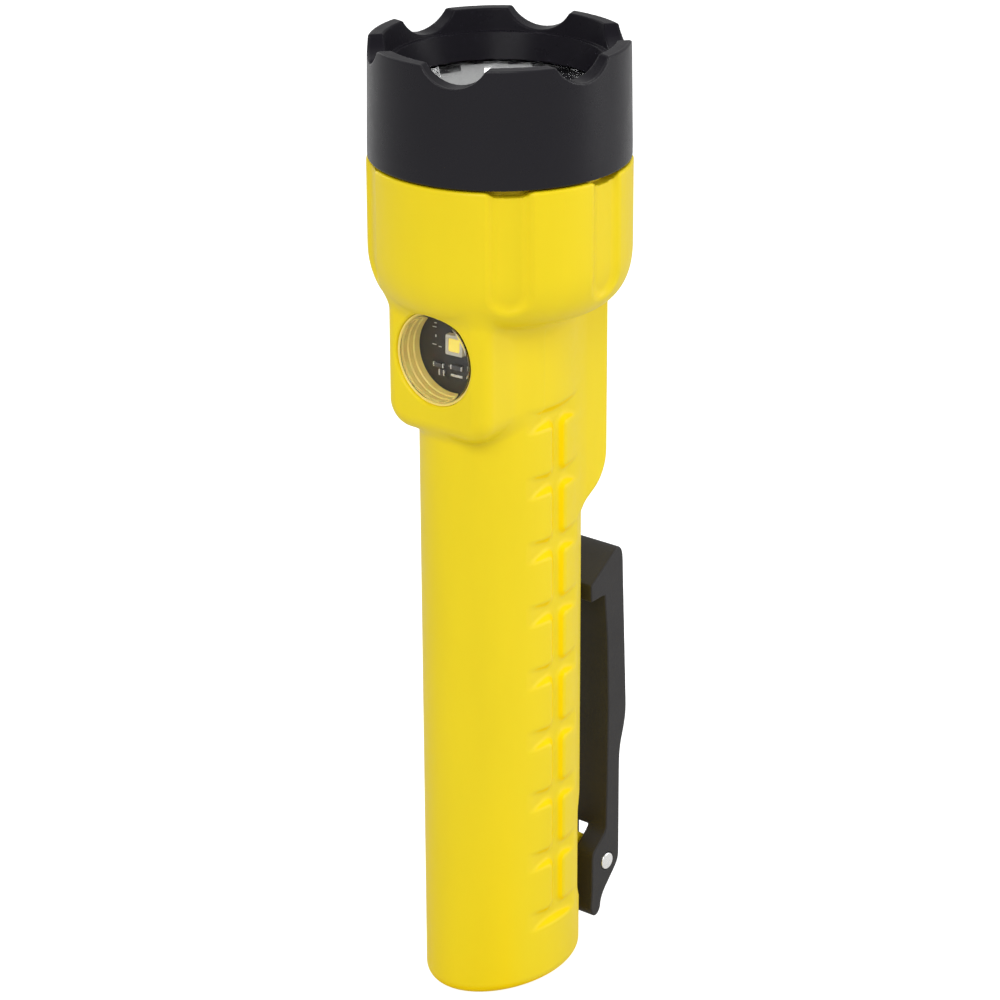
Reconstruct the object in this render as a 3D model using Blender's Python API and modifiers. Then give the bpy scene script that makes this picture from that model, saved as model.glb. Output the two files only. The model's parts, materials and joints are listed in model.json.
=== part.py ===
"""Two-light firefighter's hand light, built from separate parts.

Frame: origin at the centre of the flat tail, +Z up along the body. The flood light looks along -Y,
the push buttons and the belt clip are on +Y, and the ribbed grip sides are on +X and -X.
Lengths below are written in millimetres times MM, so every value in the scene is in metres.
"""
import math

import bmesh
import bpy
from mathutils import Matrix, Vector

MM = 0.001
GAP = 0.3 * MM          # space left between pieces that touch
MERGE = 1e-5            # merge distance of the modifiers

# Whole light
TOTAL_Z = 178 * MM
SEAM_Z = 157 * MM       # where the bezel meets the head
HEAD_R = 23.2 * MM
HANDLE_X = 12.4 * MM    # half axes of the oval handle
HANDLE_Y = 17.0 * MM
WALL = 2.0 * MM
FLOOR = 2.0 * MM
BASE_EDGE = 2.2 * MM
SHOULDER_R = 12.0 * MM  # rounding under the head
SHOULDER_Z = 139.5 * MM

# Head flutes
FLUTE_R = 9.2 * MM
FLUTE_DEPTH = 1.1 * MM
FLUTE_LOW_Z = 135 * MM
FLUTE_TURNS = (-135, -90, -45, 45, 90, 135)

# Grip
GROOVES = 9
GROOVE_PITCH = 12.3 * MM
GROOVE_TOP_Z = 113.9 * MM
GROOVE_HEIGHT = 3.0 * MM
GROOVE_HALF = 7.1 * MM
SPINE_HALF = 1.5 * MM
GROOVE_DEPTH = 1.0 * MM
GRIP_SHIFT = 1.1 * MM   # towards the switches

# Blank recess on the back of the handle
RECESS_HALF = 9.5 * MM
RECESS_LOW_Z = 10 * MM
RECESS_TOP_Z = 34 * MM
RECESS_DEPTH = 0.5 * MM

# Bezel
BEZEL_TOP_R = 22.7 * MM
BEZEL_R = 23.0 * MM
BORE_R = 20.8 * MM
COLLAR_R = 20.4 * MM
COLLAR_IN_R = 18.4 * MM
COLLAR_TOP_Z = 164 * MM
LENS_POCKET_R = 18.7 * MM
LEDGE_Z = 169.1 * MM
LEDGE_R = 16.5 * MM
TEETH = 6
TOOTH_TURN = -11        # degrees from -Y to the middle of the first tooth
NOTCH_R = 6.5 * MM
NOTCH_DEPTH = 3.4 * MM

# Flood light
FLOOD_Z = 124.5 * MM
FLOOD_Y = -18.6 * MM
FLOOD_HALF = 11.4 * MM
FLOOD_LOW_Z = 110 * MM
FLOOD_R = 8.75 * MM
FLOOD_BOARD_R = 7.9 * MM
FLOOD_BOARD_Y = -12.8 * MM
FLOOD_LED = (0.9 * MM, 1.4 * MM)   # its middle, from the axis of the flood light

# Switches
SWITCH_Y = 18.6 * MM
SWITCH_HALF = 10.2 * MM
SWITCH_LOW_Z = 100 * MM
BUTTON_ZS = {"spot_button": 125.3 * MM, "flood_button": 116.7 * MM}
BUTTON_HALF = (4.9 * MM, 3.6 * MM)
BUTTON_TOP_Y = 20.5 * MM
FRAME_HALF = 7.5 * MM
FRAME_LOW_Z = 111.2 * MM
FRAME_TOP_Z = 130.0 * MM

# Clip
PIN_Y = 22.7 * MM
PIN_Z = 13.5 * MM
PIN_R = 1.65 * MM
CLIP_HALF = 7.0 * MM
EAR_IN = 2.6 * MM
LUG_IN = 1.3 * MM
LUG_OUT = 2.1 * MM

# Batteries
CELL_R = 7.25 * MM
CELL_L = 50.5 * MM
CELL_Y = 7.42 * MM

LOOKS = {
    "yellow_nylon": ((0.80, 0.60, 0.02), 0.45, 0.0),
    "black_nylon": ((0.02, 0.02, 0.022), 0.5, 0.0),
    "black_rubber": ((0.03, 0.03, 0.03), 0.8, 0.0),
    "clear_plastic": ((0.85, 0.87, 0.88), 0.08, 0.0),
    "clear_silicone": ((0.70, 0.66, 0.50), 0.4, 0.0),
    "bright_reflector": ((0.92, 0.92, 0.93), 0.08, 1.0),
    "aluminium": ((0.72, 0.73, 0.75), 0.35, 1.0),
    "steel": ((0.62, 0.62, 0.64), 0.25, 1.0),
    "brass": ((0.75, 0.58, 0.25), 0.3, 1.0),
    "board_white": ((0.85, 0.85, 0.82), 0.5, 0.0),
    "board_black": ((0.03, 0.035, 0.035), 0.4, 0.0),
    "board_green": ((0.03, 0.22, 0.08), 0.4, 0.0),
    "led_yellow": ((0.90, 0.75, 0.10), 0.3, 0.0),
    "grey_rubber": ((0.35, 0.35, 0.36), 0.8, 0.0),
    "grey_plastic": ((0.22, 0.22, 0.23), 0.5, 0.0),
    "cell_sleeve": ((0.10, 0.16, 0.30), 0.35, 0.0),
}


# ---------------------------------------------------------------- scene and shapes

def clear_scene():
    for old in list(bpy.data.objects):
        bpy.data.objects.remove(old, do_unlink=True)


def new_collection(name):
    collection = bpy.data.collections.new(name)
    bpy.context.scene.collection.children.link(collection)
    return collection


def material(look):
    found = bpy.data.materials.get(look)
    if found:
        return found
    colour, roughness, metallic = LOOKS[look]
    made = bpy.data.materials.new(look)
    made.use_nodes = True
    shader = made.node_tree.nodes["Principled BSDF"]
    shader.inputs["Base Color"].default_value = (*colour, 1.0)
    shader.inputs["Roughness"].default_value = roughness
    shader.inputs["Metallic"].default_value = metallic
    return made


def place(mesh, name, look=None):
    """Links a mesh as a part, or as a hidden cutter where it has no look."""
    made = bpy.data.objects.new(name, mesh)
    if look:
        PARTS.objects.link(made)
        mesh.materials.append(material(look))
    else:
        CUTTERS.objects.link(made)
        made.hide_render = True
        made.display_type = "WIRE"
    mesh.shade_smooth()
    mesh.set_sharp_from_angle(angle=math.radians(35))
    return made


def from_bmesh(bm, name, look=None):
    mesh = bpy.data.meshes.new(name)
    bm.to_mesh(mesh)
    bm.free()
    return place(mesh, name, look)


def box(name, low, high, look=None):
    bm = bmesh.new()
    middle = (Vector(low) + Vector(high)) / 2
    size = Vector(high) - Vector(low)
    bmesh.ops.create_cube(bm, size=1, matrix=Matrix.Translation(middle) @ Matrix.Diagonal((*size, 1)))
    return from_bmesh(bm, name, look)


def rod(name, start, end, radius, sides, look=None):
    start = Vector(start)
    run = Vector(end) - start
    turn = run.to_track_quat("Z", "Y").to_matrix().to_4x4()
    bm = bmesh.new()
    bmesh.ops.create_cone(bm, cap_ends=True, segments=sides, radius1=radius, radius2=radius,
                          depth=run.length, matrix=Matrix.Translation(start + run / 2) @ turn)
    return from_bmesh(bm, name, look)


def oval(name, half_x, half_y, low_z, high_z, sides, look=None):
    bm = bmesh.new()
    matrix = Matrix.Translation((0, 0, (low_z + high_z) / 2)) @ Matrix.Diagonal((half_x, half_y, 1, 1))
    bmesh.ops.create_cone(bm, cap_ends=True, segments=sides, radius1=1, radius2=1,
                          depth=high_z - low_z, matrix=matrix)
    return from_bmesh(bm, name, look)


def turned(name, profile, steps, look=None, ring=False, location=(0, 0, 0), along_y=False):
    """A turned shape from (radius, height) points that run down the outer side. along_y turns the axis
    from +Z to -Y, so that heights grow towards -Y."""
    bm = bmesh.new()
    points = [bm.verts.new((radius, 0, height)) for radius, height in profile]
    for first, second in zip(points, points[1:]):
        bm.edges.new((first, second))
    if ring:
        bm.edges.new((points[-1], points[0]))
    made = from_bmesh(bm, name, look)
    made.location = location
    if along_y:
        made.rotation_euler = (math.radians(90), 0, 0)
    screw = made.modifiers.new("turn", "SCREW")
    screw.steps = steps
    screw.render_steps = steps
    screw.use_merge_vertices = True
    screw.merge_threshold = MERGE
    screw.use_smooth_shade = True
    return made


def ring_profile(inner, outer, low, high):
    return [(outer, high), (outer, low), (inner, low), (inner, high)]


def round_profile(middle, height, radius, points):
    turns = [-2 * math.pi * i / points for i in range(points)]
    return [(middle + radius * math.cos(t), height + radius * math.sin(t)) for t in turns]


def arc(middle, radius, start, end, points):
    """Points on an arc, from start to end in degrees."""
    turns = [math.radians(start + (end - start) * i / (points - 1)) for i in range(points)]
    return [(middle[0] + radius * math.cos(t), middle[1] + radius * math.sin(t)) for t in turns]


def evaluated_mesh(source, name):
    graph = bpy.context.evaluated_depsgraph_get()
    graph.update()
    mesh = bpy.data.meshes.new_from_object(source.evaluated_get(graph))
    mesh.name = name
    bm = bmesh.new()
    bm.from_mesh(mesh)
    bmesh.ops.remove_doubles(bm, verts=bm.verts, dist=MERGE / 10)
    bm.to_mesh(mesh)
    bm.free()
    mesh.materials.clear()
    return mesh


def plate(name, outline, low, high, look=None, across="X"):
    """A flat outline made solid from low to high. Its points are (Y, Z) across X, (X, Z) across Y,
    or (X, Y) across Z."""
    curve = bpy.data.curves.new(name, "CURVE")
    curve.dimensions = "2D"
    curve.fill_mode = "BOTH"
    curve.extrude = (high - low) / 2
    spline = curve.splines.new("POLY")
    spline.points.add(len(outline) - 1)
    for point, (a, b) in zip(spline.points, outline):
        point.co = (a, b, 0, 1)
    spline.use_cyclic_u = True
    flat = bpy.data.objects.new(name + "_outline", curve)
    bpy.context.scene.collection.objects.link(flat)
    middle = (low + high) / 2
    frames = {
        "X": Matrix(((0, 0, 1, middle), (1, 0, 0, 0), (0, 1, 0, 0), (0, 0, 0, 1))),
        "Y": Matrix(((1, 0, 0, 0), (0, 0, -1, middle), (0, 1, 0, 0), (0, 0, 0, 1))),
        "Z": Matrix.Translation((0, 0, middle)),
    }
    mesh = evaluated_mesh(flat, name)
    mesh.transform(frames[across])
    bpy.data.objects.remove(flat)
    return place(mesh, name, look)


def wire(name, points, radius, look):
    """A bent wire through the points."""
    curve = bpy.data.curves.new(name, "CURVE")
    curve.dimensions = "3D"
    curve.bevel_depth = radius
    curve.bevel_resolution = 1
    curve.use_fill_caps = True
    spline = curve.splines.new("POLY")
    spline.points.add(len(points) - 1)
    for point, place_at in zip(spline.points, points):
        point.co = (*place_at, 1)
    made = bpy.data.objects.new(name, curve)
    curve.materials.append(material(look))
    PARTS.objects.link(made)
    return made


def coil_points(middle, low_z, high_z, low_r, high_r, turns, per_turn=10):
    count = int(turns * per_turn)
    points = []
    for i in range(count + 1):
        share = i / count
        angle = 2 * math.pi * turns * share
        radius = low_r + (high_r - low_r) * share
        height = low_z + (high_z - low_z) * share
        points.append((middle[0] + radius * math.cos(angle), middle[1] + radius * math.sin(angle), height))
    return points


def join_or_cut(made, other, operation):
    modifier = made.modifiers.new(f"{operation.lower()}_{other.name}", "BOOLEAN")
    modifier.operation = operation
    modifier.object = other
    modifier.solver = "EXACT"


def add(made, *others):
    for other in others:
        join_or_cut(made, other, "UNION")


def cut(made, *others):
    for other in others:
        join_or_cut(made, other, "DIFFERENCE")


def round_edges(made, width, segments=2, limit_deg=40):
    bevel = made.modifiers.new("rounding", "BEVEL")
    bevel.width = width
    bevel.segments = segments
    bevel.limit_method = "ANGLE"
    bevel.angle_limit = math.radians(limit_deg)


def around_head(turn_deg, radius, height=0.0):
    """A point round the axis, turned from -Y towards +X."""
    turn = math.radians(turn_deg)
    return (radius * math.sin(turn), -radius * math.cos(turn), height)


# ---------------------------------------------------------------- housing

def rounded_outline(half, low, high, corner, points=6):
    """Half-width outline from low to high with all four corners rounded."""
    inner = half - corner
    right = arc((inner, low + corner), corner, -90, 0, points)
    right += arc((inner, high - corner), corner, 0, 90, points)
    left = arc((-inner, high - corner), corner, 90, 180, points)
    return right + left + arc((-inner, low + corner), corner, 180, 270, points)


def head_blank():
    shoulder = arc((HEAD_R - SHOULDER_R, SHOULDER_Z), SHOULDER_R, 0, -88, 7)
    low_z = SHOULDER_Z - SHOULDER_R
    profile = [(0, COLLAR_TOP_Z), (COLLAR_R, COLLAR_TOP_Z), (COLLAR_R, SEAM_Z), (HEAD_R, SEAM_Z)]
    profile += shoulder + [(0, low_z)]
    return turned("body_housing", profile, 64, "yellow_nylon")


def flood_boss():
    outline = rounded_outline(FLOOD_HALF, FLOOD_LOW_Z, 138 * MM, 5.0 * MM)
    boss = plate("flood_boss", outline, FLOOD_Y, -4 * MM, across="Y")
    round_edges(boss, 3.1 * MM, 3, 60)
    return boss


def switch_boss():
    side = [(5 * MM, 86.6 * MM), (16.3 * MM, 93.6 * MM), (18.2 * MM, 96 * MM), (SWITCH_Y, SWITCH_LOW_Z),
            (SWITCH_Y, 136 * MM), (5 * MM, 136 * MM)]
    boss = plate("switch_boss", side, -SWITCH_HALF, SWITCH_HALF, across="X")
    round_edges(boss, 1.5 * MM, 3, 60)
    return boss


def lug(side):
    outline = [(14.5 * MM, 21 * MM), (18.2 * MM, 20.6 * MM)]
    outline += arc((PIN_Y, PIN_Z), 3.2 * MM, 55, -110, 9)
    outline += [(14.5 * MM, 7.6 * MM)]
    low, high = sorted((side * LUG_IN, side * LUG_OUT))
    return plate(f"lug_{'right' if side > 0 else 'left'}", outline, low, high)


def cavity():
    """Room for the batteries and the electronics, open at the collar."""
    oval_room = oval("battery_room", HANDLE_X - WALL, HANDLE_Y - WALL, FLOOR, 134 * MM, 32)
    profile = [(0, 166 * MM), (COLLAR_IN_R, 166 * MM), (COLLAR_IN_R, 138 * MM), (17 * MM, 135 * MM),
               (14 * MM, 133 * MM), (0, 131.5 * MM)]
    return oval_room, turned("head_room", profile, 40)


def grip_cutter(side):
    """Nine grooves across one upright groove, cut into the oval side down to one flat plane."""
    right = []
    for row in range(GROOVES):
        top = GROOVE_TOP_Z - row * GROOVE_PITCH
        low = top - GROOVE_HEIGHT
        right += [(GROOVE_HALF, top), (GROOVE_HALF, low)]
        if row < GROOVES - 1:
            right += [(SPINE_HALF, low), (SPINE_HALF, top - GROOVE_PITCH)]
    left = [(-y, z) for y, z in reversed(right)]
    outline = [(y + GRIP_SHIFT, z) for y, z in right + left]
    name = "right" if side > 0 else "left"
    low_x, high_x = sorted((side * 8 * MM, side * 15 * MM))
    ladder = plate(f"grip_{name}", outline, low_x, high_x)
    deep = HANDLE_X - GROOVE_DEPTH
    cut(ladder, box(f"grip_core_{name}", (-deep, -12 * MM, 5 * MM), (deep, 14 * MM, 120 * MM)))
    return ladder


def back_recess():
    outline = rounded_outline(RECESS_HALF, RECESS_LOW_Z, RECESS_TOP_Z, 5 * MM)
    blank = plate("back_recess", outline, 9 * MM, 20 * MM, across="Y")
    core = oval("recess_core", HANDLE_X - RECESS_DEPTH, HANDLE_Y - RECESS_DEPTH, 5 * MM, 40 * MM, 56)
    cut(blank, core)
    return blank


def flute_cutter(turn_deg):
    middle = around_head(turn_deg, HEAD_R + FLUTE_R - FLUTE_DEPTH)
    low = FLUTE_LOW_Z + FLUTE_R / 2
    profile = [(0, SEAM_Z + 4 * MM), (FLUTE_R, SEAM_Z + 4 * MM)]
    profile += arc((0, low), FLUTE_R, 0, -80, 5) + [(0, low - FLUTE_R)]
    return turned(f"flute_{turn_deg + 180}", profile, 24, location=middle)


def body_housing():
    body = head_blank()
    handle = oval("handle", HANDLE_X, HANDLE_Y, 0, 131 * MM, 56)
    round_edges(handle, BASE_EDGE, 2, 60)
    add(body, handle, flood_boss(), switch_boss())
    cut(body, *cavity(), back_recess())
    add(body, lug(-1), lug(1))
    lens_seat = rod("flood_seat", (0, -25 * MM, FLOOD_Z), (0, -14.6 * MM, FLOOD_Z), FLOOD_R, 32)
    flood_hole = rod("flood_hole", (0, -15 * MM, FLOOD_Z), (0, -5 * MM, FLOOD_Z), 8.55 * MM, 32)
    frame_seat = box("frame_seat", (-FRAME_HALF - GAP, 16.6 * MM, FRAME_LOW_Z - GAP),
                     (FRAME_HALF + GAP, 25 * MM, FRAME_TOP_Z + GAP))
    switch_hole = box("switch_hole", (-6.9 * MM, 5 * MM, 112.2 * MM), (6.9 * MM, 17.5 * MM, 129.8 * MM))
    cut(body, lens_seat, flood_hole, frame_seat, switch_hole)
    for turn in FLUTE_TURNS:
        cut(body, flute_cutter(turn))
    for side in (-1, 1):
        cut(body, grip_cutter(side))
        low, high = sorted((side * (EAR_IN - GAP), side * 9 * MM))
        cut(body, box(f"ear_relief_{side + 1}", (low, 15.2 * MM, 1.8 * MM), (high, 20 * MM, 16 * MM)))
    pin_hole = rod("lug_pin_hole", (-9 * MM, PIN_Y, PIN_Z), (9 * MM, PIN_Y, PIN_Z), PIN_R + 0.15 * MM, 24)
    cut(body, pin_hole)
    groove = turned("o_ring_groove", ring_profile(19.6 * MM, 22 * MM, 158.3 * MM, 160.1 * MM), 40, ring=True)
    cut(body, groove)


# ---------------------------------------------------------------- bezel and spot light

def bezel():
    inner = [(20.2 * MM, TOTAL_Z), (19.3 * MM, 174.4 * MM), (18.4 * MM, 174 * MM),
             (LEDGE_R, LEDGE_Z + 0.4 * MM), (LEDGE_R, LEDGE_Z), (LENS_POCKET_R, LEDGE_Z),
             (LENS_POCKET_R, 165 * MM), (BORE_R, 165 * MM), (BORE_R, SEAM_Z + GAP)]
    outer = [(BEZEL_TOP_R - 0.4 * MM, TOTAL_Z), (BEZEL_TOP_R, TOTAL_Z - 0.5 * MM),
             (BEZEL_R, SEAM_Z + 3 * MM), (BEZEL_R, SEAM_Z + GAP)]
    made = turned("bezel", outer + inner[::-1], 60, "black_nylon", ring=True)
    for i in range(TEETH):
        turn = TOOTH_TURN + (i + 0.5) * 360 / TEETH
        height = TOTAL_Z + NOTCH_R - NOTCH_DEPTH
        notch = rod(f"notch_{i}", around_head(turn, 14 * MM, height), around_head(turn, 26 * MM, height),
                    NOTCH_R, 32)
        cut(made, notch)


def spot_light():
    turned("spot_lens", [(0, 167.9 * MM), (18.4 * MM, 167.9 * MM), (18.4 * MM, 166.2 * MM), (0, 166.2 * MM)],
           36, "clear_plastic")
    turned("lens_gasket", ring_profile(16.9 * MM, 18.4 * MM, 168.2 * MM, 168.8 * MM), 32, "black_rubber",
           ring=True)
    turned("reflector_washer", ring_profile(16.6 * MM, 18.1 * MM, 165.4 * MM, 165.9 * MM), 32,
           "grey_plastic", ring=True)
    turned("reflector", reflector_profile(), 32, "bright_reflector", ring=True)
    led_z = 149.9 * MM
    led = box("spot_led", (-2 * MM, -2 * MM, led_z), (2 * MM, 2 * MM, led_z + 0.8 * MM), "led_yellow")
    dome = turned("spot_led_dome", [(0, led_z + 2.4 * MM)] + arc((0, led_z + 0.6 * MM), 1.8 * MM, 75, 0, 5)
                  + [(0, led_z + 0.6 * MM)], 20)
    add(led, dome)
    turned("spot_led_board", [(0, 149.6 * MM), (9.5 * MM, 149.6 * MM), (9.5 * MM, 148 * MM), (0, 148 * MM)],
           24, "board_white")
    fins = [(0, 147.7 * MM), (17.4 * MM, 147.7 * MM), (17.4 * MM, 146.4 * MM)]
    for top in (146.4 * MM, 144.4 * MM):
        fins += [(15 * MM, top), (15 * MM, top - 1 * MM), (17.4 * MM, top - 1 * MM),
                 (17.4 * MM, top - 2 * MM)]
    fins += [(15 * MM, 142.4 * MM), (15 * MM, 141.5 * MM), (0, 141.5 * MM)]
    turned("heat_sink", fins, 28, "aluminium")


def reflector_profile():
    """A parabolic bowl of even wall with a flange; it runs down the outside and up the inside."""
    top, low, throat, mouth = 165.1 * MM, 150.4 * MM, 3.4 * MM, 16.2 * MM
    scale = (top - low) / (mouth ** 2 - throat ** 2)
    steps = 6
    radii = [throat + (mouth - throat) * i / steps for i in range(steps + 1)]
    inside = [(r, low + scale * (r ** 2 - throat ** 2)) for r in radii]
    outside = [(r + 1.0 * MM, z) for r, z in inside[:-1] if z < top - 1.6 * MM]
    flange = [(17.9 * MM, top), (17.9 * MM, top - 1.5 * MM)]
    return flange + outside[::-1] + inside


def head_o_ring():
    turned("head_o_ring", round_profile(20.25 * MM, 159.2 * MM, 0.42 * MM, 6), 40, "black_rubber", ring=True)


def chassis():
    """Carries both LED boards and the control board."""
    deck = [(0, 141.2 * MM), (17.5 * MM, 141.2 * MM), (17.5 * MM, 139 * MM), (0, 139 * MM)]
    made = turned("chassis", deck, 32, "grey_plastic")
    front = box("chassis_front", (-5.6 * MM, -11.8 * MM, 117.6 * MM), (5.6 * MM, -10.2 * MM, 140 * MM))
    rear = box("chassis_rear", (-6.6 * MM, 7.2 * MM, 116.5 * MM), (6.6 * MM, 8.7 * MM, 140 * MM))
    low = oval("chassis_low", 8.6 * MM, 8.6 * MM, 115.3 * MM, 117.1 * MM, 24)
    spine = box("chassis_spine", (-2 * MM, -11 * MM, 116 * MM), (2 * MM, 8 * MM, 140 * MM))
    add(made, front, rear, low, spine)


# ---------------------------------------------------------------- flood light

def flood_light():
    middle = (0, 0, FLOOD_Z)
    cup = [(0, 18.3 * MM), (7.6 * MM, 18.3 * MM), (8.45 * MM, 18.0 * MM), (8.45 * MM, 16.4 * MM),
           (0, 16.4 * MM)]
    turned("flood_lens", cup, 36, "clear_plastic", location=middle, along_y=True)
    turned("flood_lens_seal", ring_profile(8.0 * MM, 8.35 * MM, 13.1 * MM, 16.1 * MM), 28, "clear_silicone",
           ring=True, location=middle, along_y=True)
    rod("flood_led_board", (0, FLOOD_BOARD_Y, FLOOD_Z), (0, -12.1 * MM, FLOOD_Z), FLOOD_BOARD_R, 32,
        "board_black")
    x, z = FLOOD_LED[0], FLOOD_Z + FLOOD_LED[1]
    led = box("flood_led", (x - 1.75 * MM, FLOOD_BOARD_Y - 0.9 * MM, z - 1.75 * MM),
              (x + 1.75 * MM, FLOOD_BOARD_Y - GAP, z + 1.75 * MM), "board_white")
    round_edges(led, 0.3 * MM, 1)


# ---------------------------------------------------------------- switches

def button_outline(grow=0.0):
    return rounded_outline(BUTTON_HALF[0] + grow, -BUTTON_HALF[1] - grow, BUTTON_HALF[1] + grow,
                           2.2 * MM + grow, 5)


def shifted(outline, up):
    return [(a, b + up) for a, b in outline]


def switches():
    frame = box("switch_frame", (-FRAME_HALF, 16.9 * MM, FRAME_LOW_Z), (FRAME_HALF, 19.5 * MM, FRAME_TOP_Z),
                "black_nylon")
    for name, height in BUTTON_ZS.items():
        light = name.split("_")[0]
        hole = shifted(button_outline(GAP), height)
        cut(frame, plate(f"{light}_hole", hole, 15 * MM, 21 * MM, across="Y"))
        button = plate(name, shifted(button_outline(), height), 16 * MM, BUTTON_TOP_Y, "black_rubber", "Y")
        round_edges(button, 0.5 * MM, 2, 60)
        button.data.transform(Matrix.Translation((0, -BUTTON_TOP_Y, -height)))
        button.location = (0, BUTTON_TOP_Y, height)
        add(button, box(f"{light}_flange", (-6 * MM, 15.3 * MM, height - 4.1 * MM),
                        (6 * MM, 16.6 * MM, height + 4.1 * MM)))
        tact = box(f"{light}_switch", (-3 * MM, 10.6 * MM, height - 3 * MM),
                   (3 * MM, 11.8 * MM, height + 3 * MM), "grey_plastic")
        add(tact, rod(f"{light}_plunger", (0, 11 * MM, height), (0, 12.8 * MM, height), 1.6 * MM, 16))
    box("button_membrane", (-6.5 * MM, 13.1 * MM, 112.6 * MM), (6.5 * MM, 13.9 * MM, 129.4 * MM),
        "grey_rubber")
    box("control_board", (-7 * MM, 9.1 * MM, 112.5 * MM), (7 * MM, 10.3 * MM, 131 * MM), "board_green")


# ---------------------------------------------------------------- batteries

def battery_carrier():
    """Two end plates on two side rails; the cells stand in line between them."""
    made = oval("battery_carrier", 9.9 * MM, 14.5 * MM, 3.6 * MM, 4.6 * MM, 32, "black_nylon")
    add(made, oval("carrier_top", 9.9 * MM, 14.5 * MM, 110.3 * MM, 111.5 * MM, 32))
    for side in (-1, 1):
        low, high = sorted((side * 5.7 * MM, side * 9.5 * MM))
        add(made, box(f"carrier_rail_{side + 1}", (low, -1.6 * MM, 4 * MM), (high, 1.6 * MM, 111 * MM)))
        cut(made, rod(f"contact_hole_{side + 1}", (0, side * 6 * MM, 109 * MM), (0, side * 6 * MM, 113 * MM),
                      3 * MM, 24))
    box("carrier_contact_strip", (-3.2 * MM, -11 * MM, 4.9 * MM), (3.2 * MM, 11 * MM, 5.2 * MM), "brass")
    box("carrier_contact_board", (-5 * MM, -13 * MM, 109.1 * MM), (5 * MM, 13 * MM, 110.0 * MM),
        "board_green")
    oval("tail_cushion", 9.8 * MM, 14.3 * MM, FLOOR + GAP, 3.3 * MM, 28, "grey_rubber")


def battery_cell(name, y, low_z, nub_up):
    """An AA cell of its full height, with its nub up or down."""
    nub, shell = 2.75 * MM, 1.0 * MM
    high_z = low_z + CELL_L
    if nub_up:
        profile = [(0, high_z), (nub, high_z), (nub, high_z - shell), (CELL_R, high_z - shell),
                   (CELL_R, low_z), (0, low_z)]
    else:
        profile = [(0, high_z), (CELL_R, high_z), (CELL_R, low_z + shell), (nub, low_z + shell),
                   (nub, low_z), (0, low_z)]
    turned(name, profile, 24, "cell_sleeve", location=(0, y, 0))


def batteries():
    battery_carrier()
    up_low = 7.5 * MM
    down_low = 5.5 * MM
    battery_cell("battery_cell_1", -CELL_Y, up_low, True)
    battery_cell("battery_cell_2", -CELL_Y, up_low + CELL_L + GAP, True)
    battery_cell("battery_cell_3", CELL_Y, down_low, False)
    battery_cell("battery_cell_4", CELL_Y, down_low + CELL_L + GAP, False)
    top_low = down_low + 2 * CELL_L + 2 * GAP
    springs = {
        "cell_spring_1": ((0, -CELL_Y), 5.8 * MM, 6.9 * MM, 4.4 * MM, 2.6 * MM, 2.0),
        "cell_spring_2": ((0, CELL_Y), top_low + 0.3 * MM, 108.5 * MM, 2.6 * MM, 4.4 * MM, 2.0),
        "contact_spring_1": ((0, -6 * MM), 110.6 * MM, 114.8 * MM, 2.2 * MM, 1.6 * MM, 3),
        "contact_spring_2": ((0, 6 * MM), 110.6 * MM, 114.8 * MM, 2.2 * MM, 1.6 * MM, 3),
    }
    for name, (middle, low, high, low_r, high_r, turns) in springs.items():
        wire(name, coil_points(middle, low, high, low_r, high_r, turns), 0.22 * MM, "steel")


# ---------------------------------------------------------------- clip

def clip_outline():
    """The clip seen from the side, as (Y, Z), from the lip at its free end round to the tail."""
    points = [(17.4, 72.0), (24.2, 76.9), (25.5, 77.6), (26.6, 76.7), (27.0, 75.2), (27.1, 72.0),
              (28.4, 43.0), (27.7, 39.8), (26.8, 37.0), (26.4, 34.0), (26.4, 13.2), (25.8, 11.8),
              (21.8, 7.4), (21.0, 5.8), (20.8, 4.2), (20.1, 3.3), (19.2, 3.0), (18.3, 3.6),
              (17.8, 4.9), (18.2, 8.5), (18.2, 16.4), (22.4, 19.9), (22.8, 45.7), (22.4, 59.5),
              (21.5, 68.9), (17.5, 68.7)]
    return [(y * MM, z * MM) for y, z in points]


def clip():
    made = plate("clip", clip_outline(), -CLIP_HALF, CLIP_HALF, "black_nylon")
    fork = [(10, 20.2), (32, 20.2), (32, 6.4), (19.2, 6.4), (19.2, 1), (10, 1)]
    hollow = plate("clip_fork", [(y * MM, z * MM) for y, z in fork], -EAR_IN, EAR_IN)
    hole = rod("clip_pin_hole", (-12 * MM, PIN_Y, PIN_Z), (12 * MM, PIN_Y, PIN_Z), PIN_R + 0.15 * MM, 24)
    cut(made, hollow, hole)
    turned_frame = Matrix.Translation((0, -PIN_Y, -PIN_Z))
    made.data.transform(turned_frame)
    made.location = (0, PIN_Y, PIN_Z)
    rod("clip_pin", (-CLIP_HALF - 0.2 * MM, PIN_Y, PIN_Z), (CLIP_HALF + 0.2 * MM, PIN_Y, PIN_Z), PIN_R, 24,
        "steel")


def clip_spring():
    """A torsion spring round the pin: its upper leg bears on the handle, its lower one on the tail bar."""
    coil_r, turns, per_turn = 2.7 * MM, 3, 12
    count = turns * per_turn
    coil = []
    for i in range(count + 1):
        angle = math.pi - 2 * math.pi * i / per_turn
        x = (-0.75 + 1.5 * i / count) * MM
        coil.append((x, PIN_Y + coil_r * math.cos(angle), PIN_Z + coil_r * math.sin(angle)))
    low_x, high_x = coil[0][0], coil[-1][0]
    low_leg = [(low_x, 18.75 * MM, 5.2 * MM), (low_x, 18.8 * MM, 7.4 * MM), (low_x, 19.6 * MM, 10.5 * MM)]
    high_leg = [(high_x, 19.3 * MM, 16.5 * MM), (high_x, 17.7 * MM, 20 * MM), (high_x, 17.5 * MM, 24 * MM)]
    wire("clip_spring", low_leg + coil + high_leg, 0.22 * MM, "steel")


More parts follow.
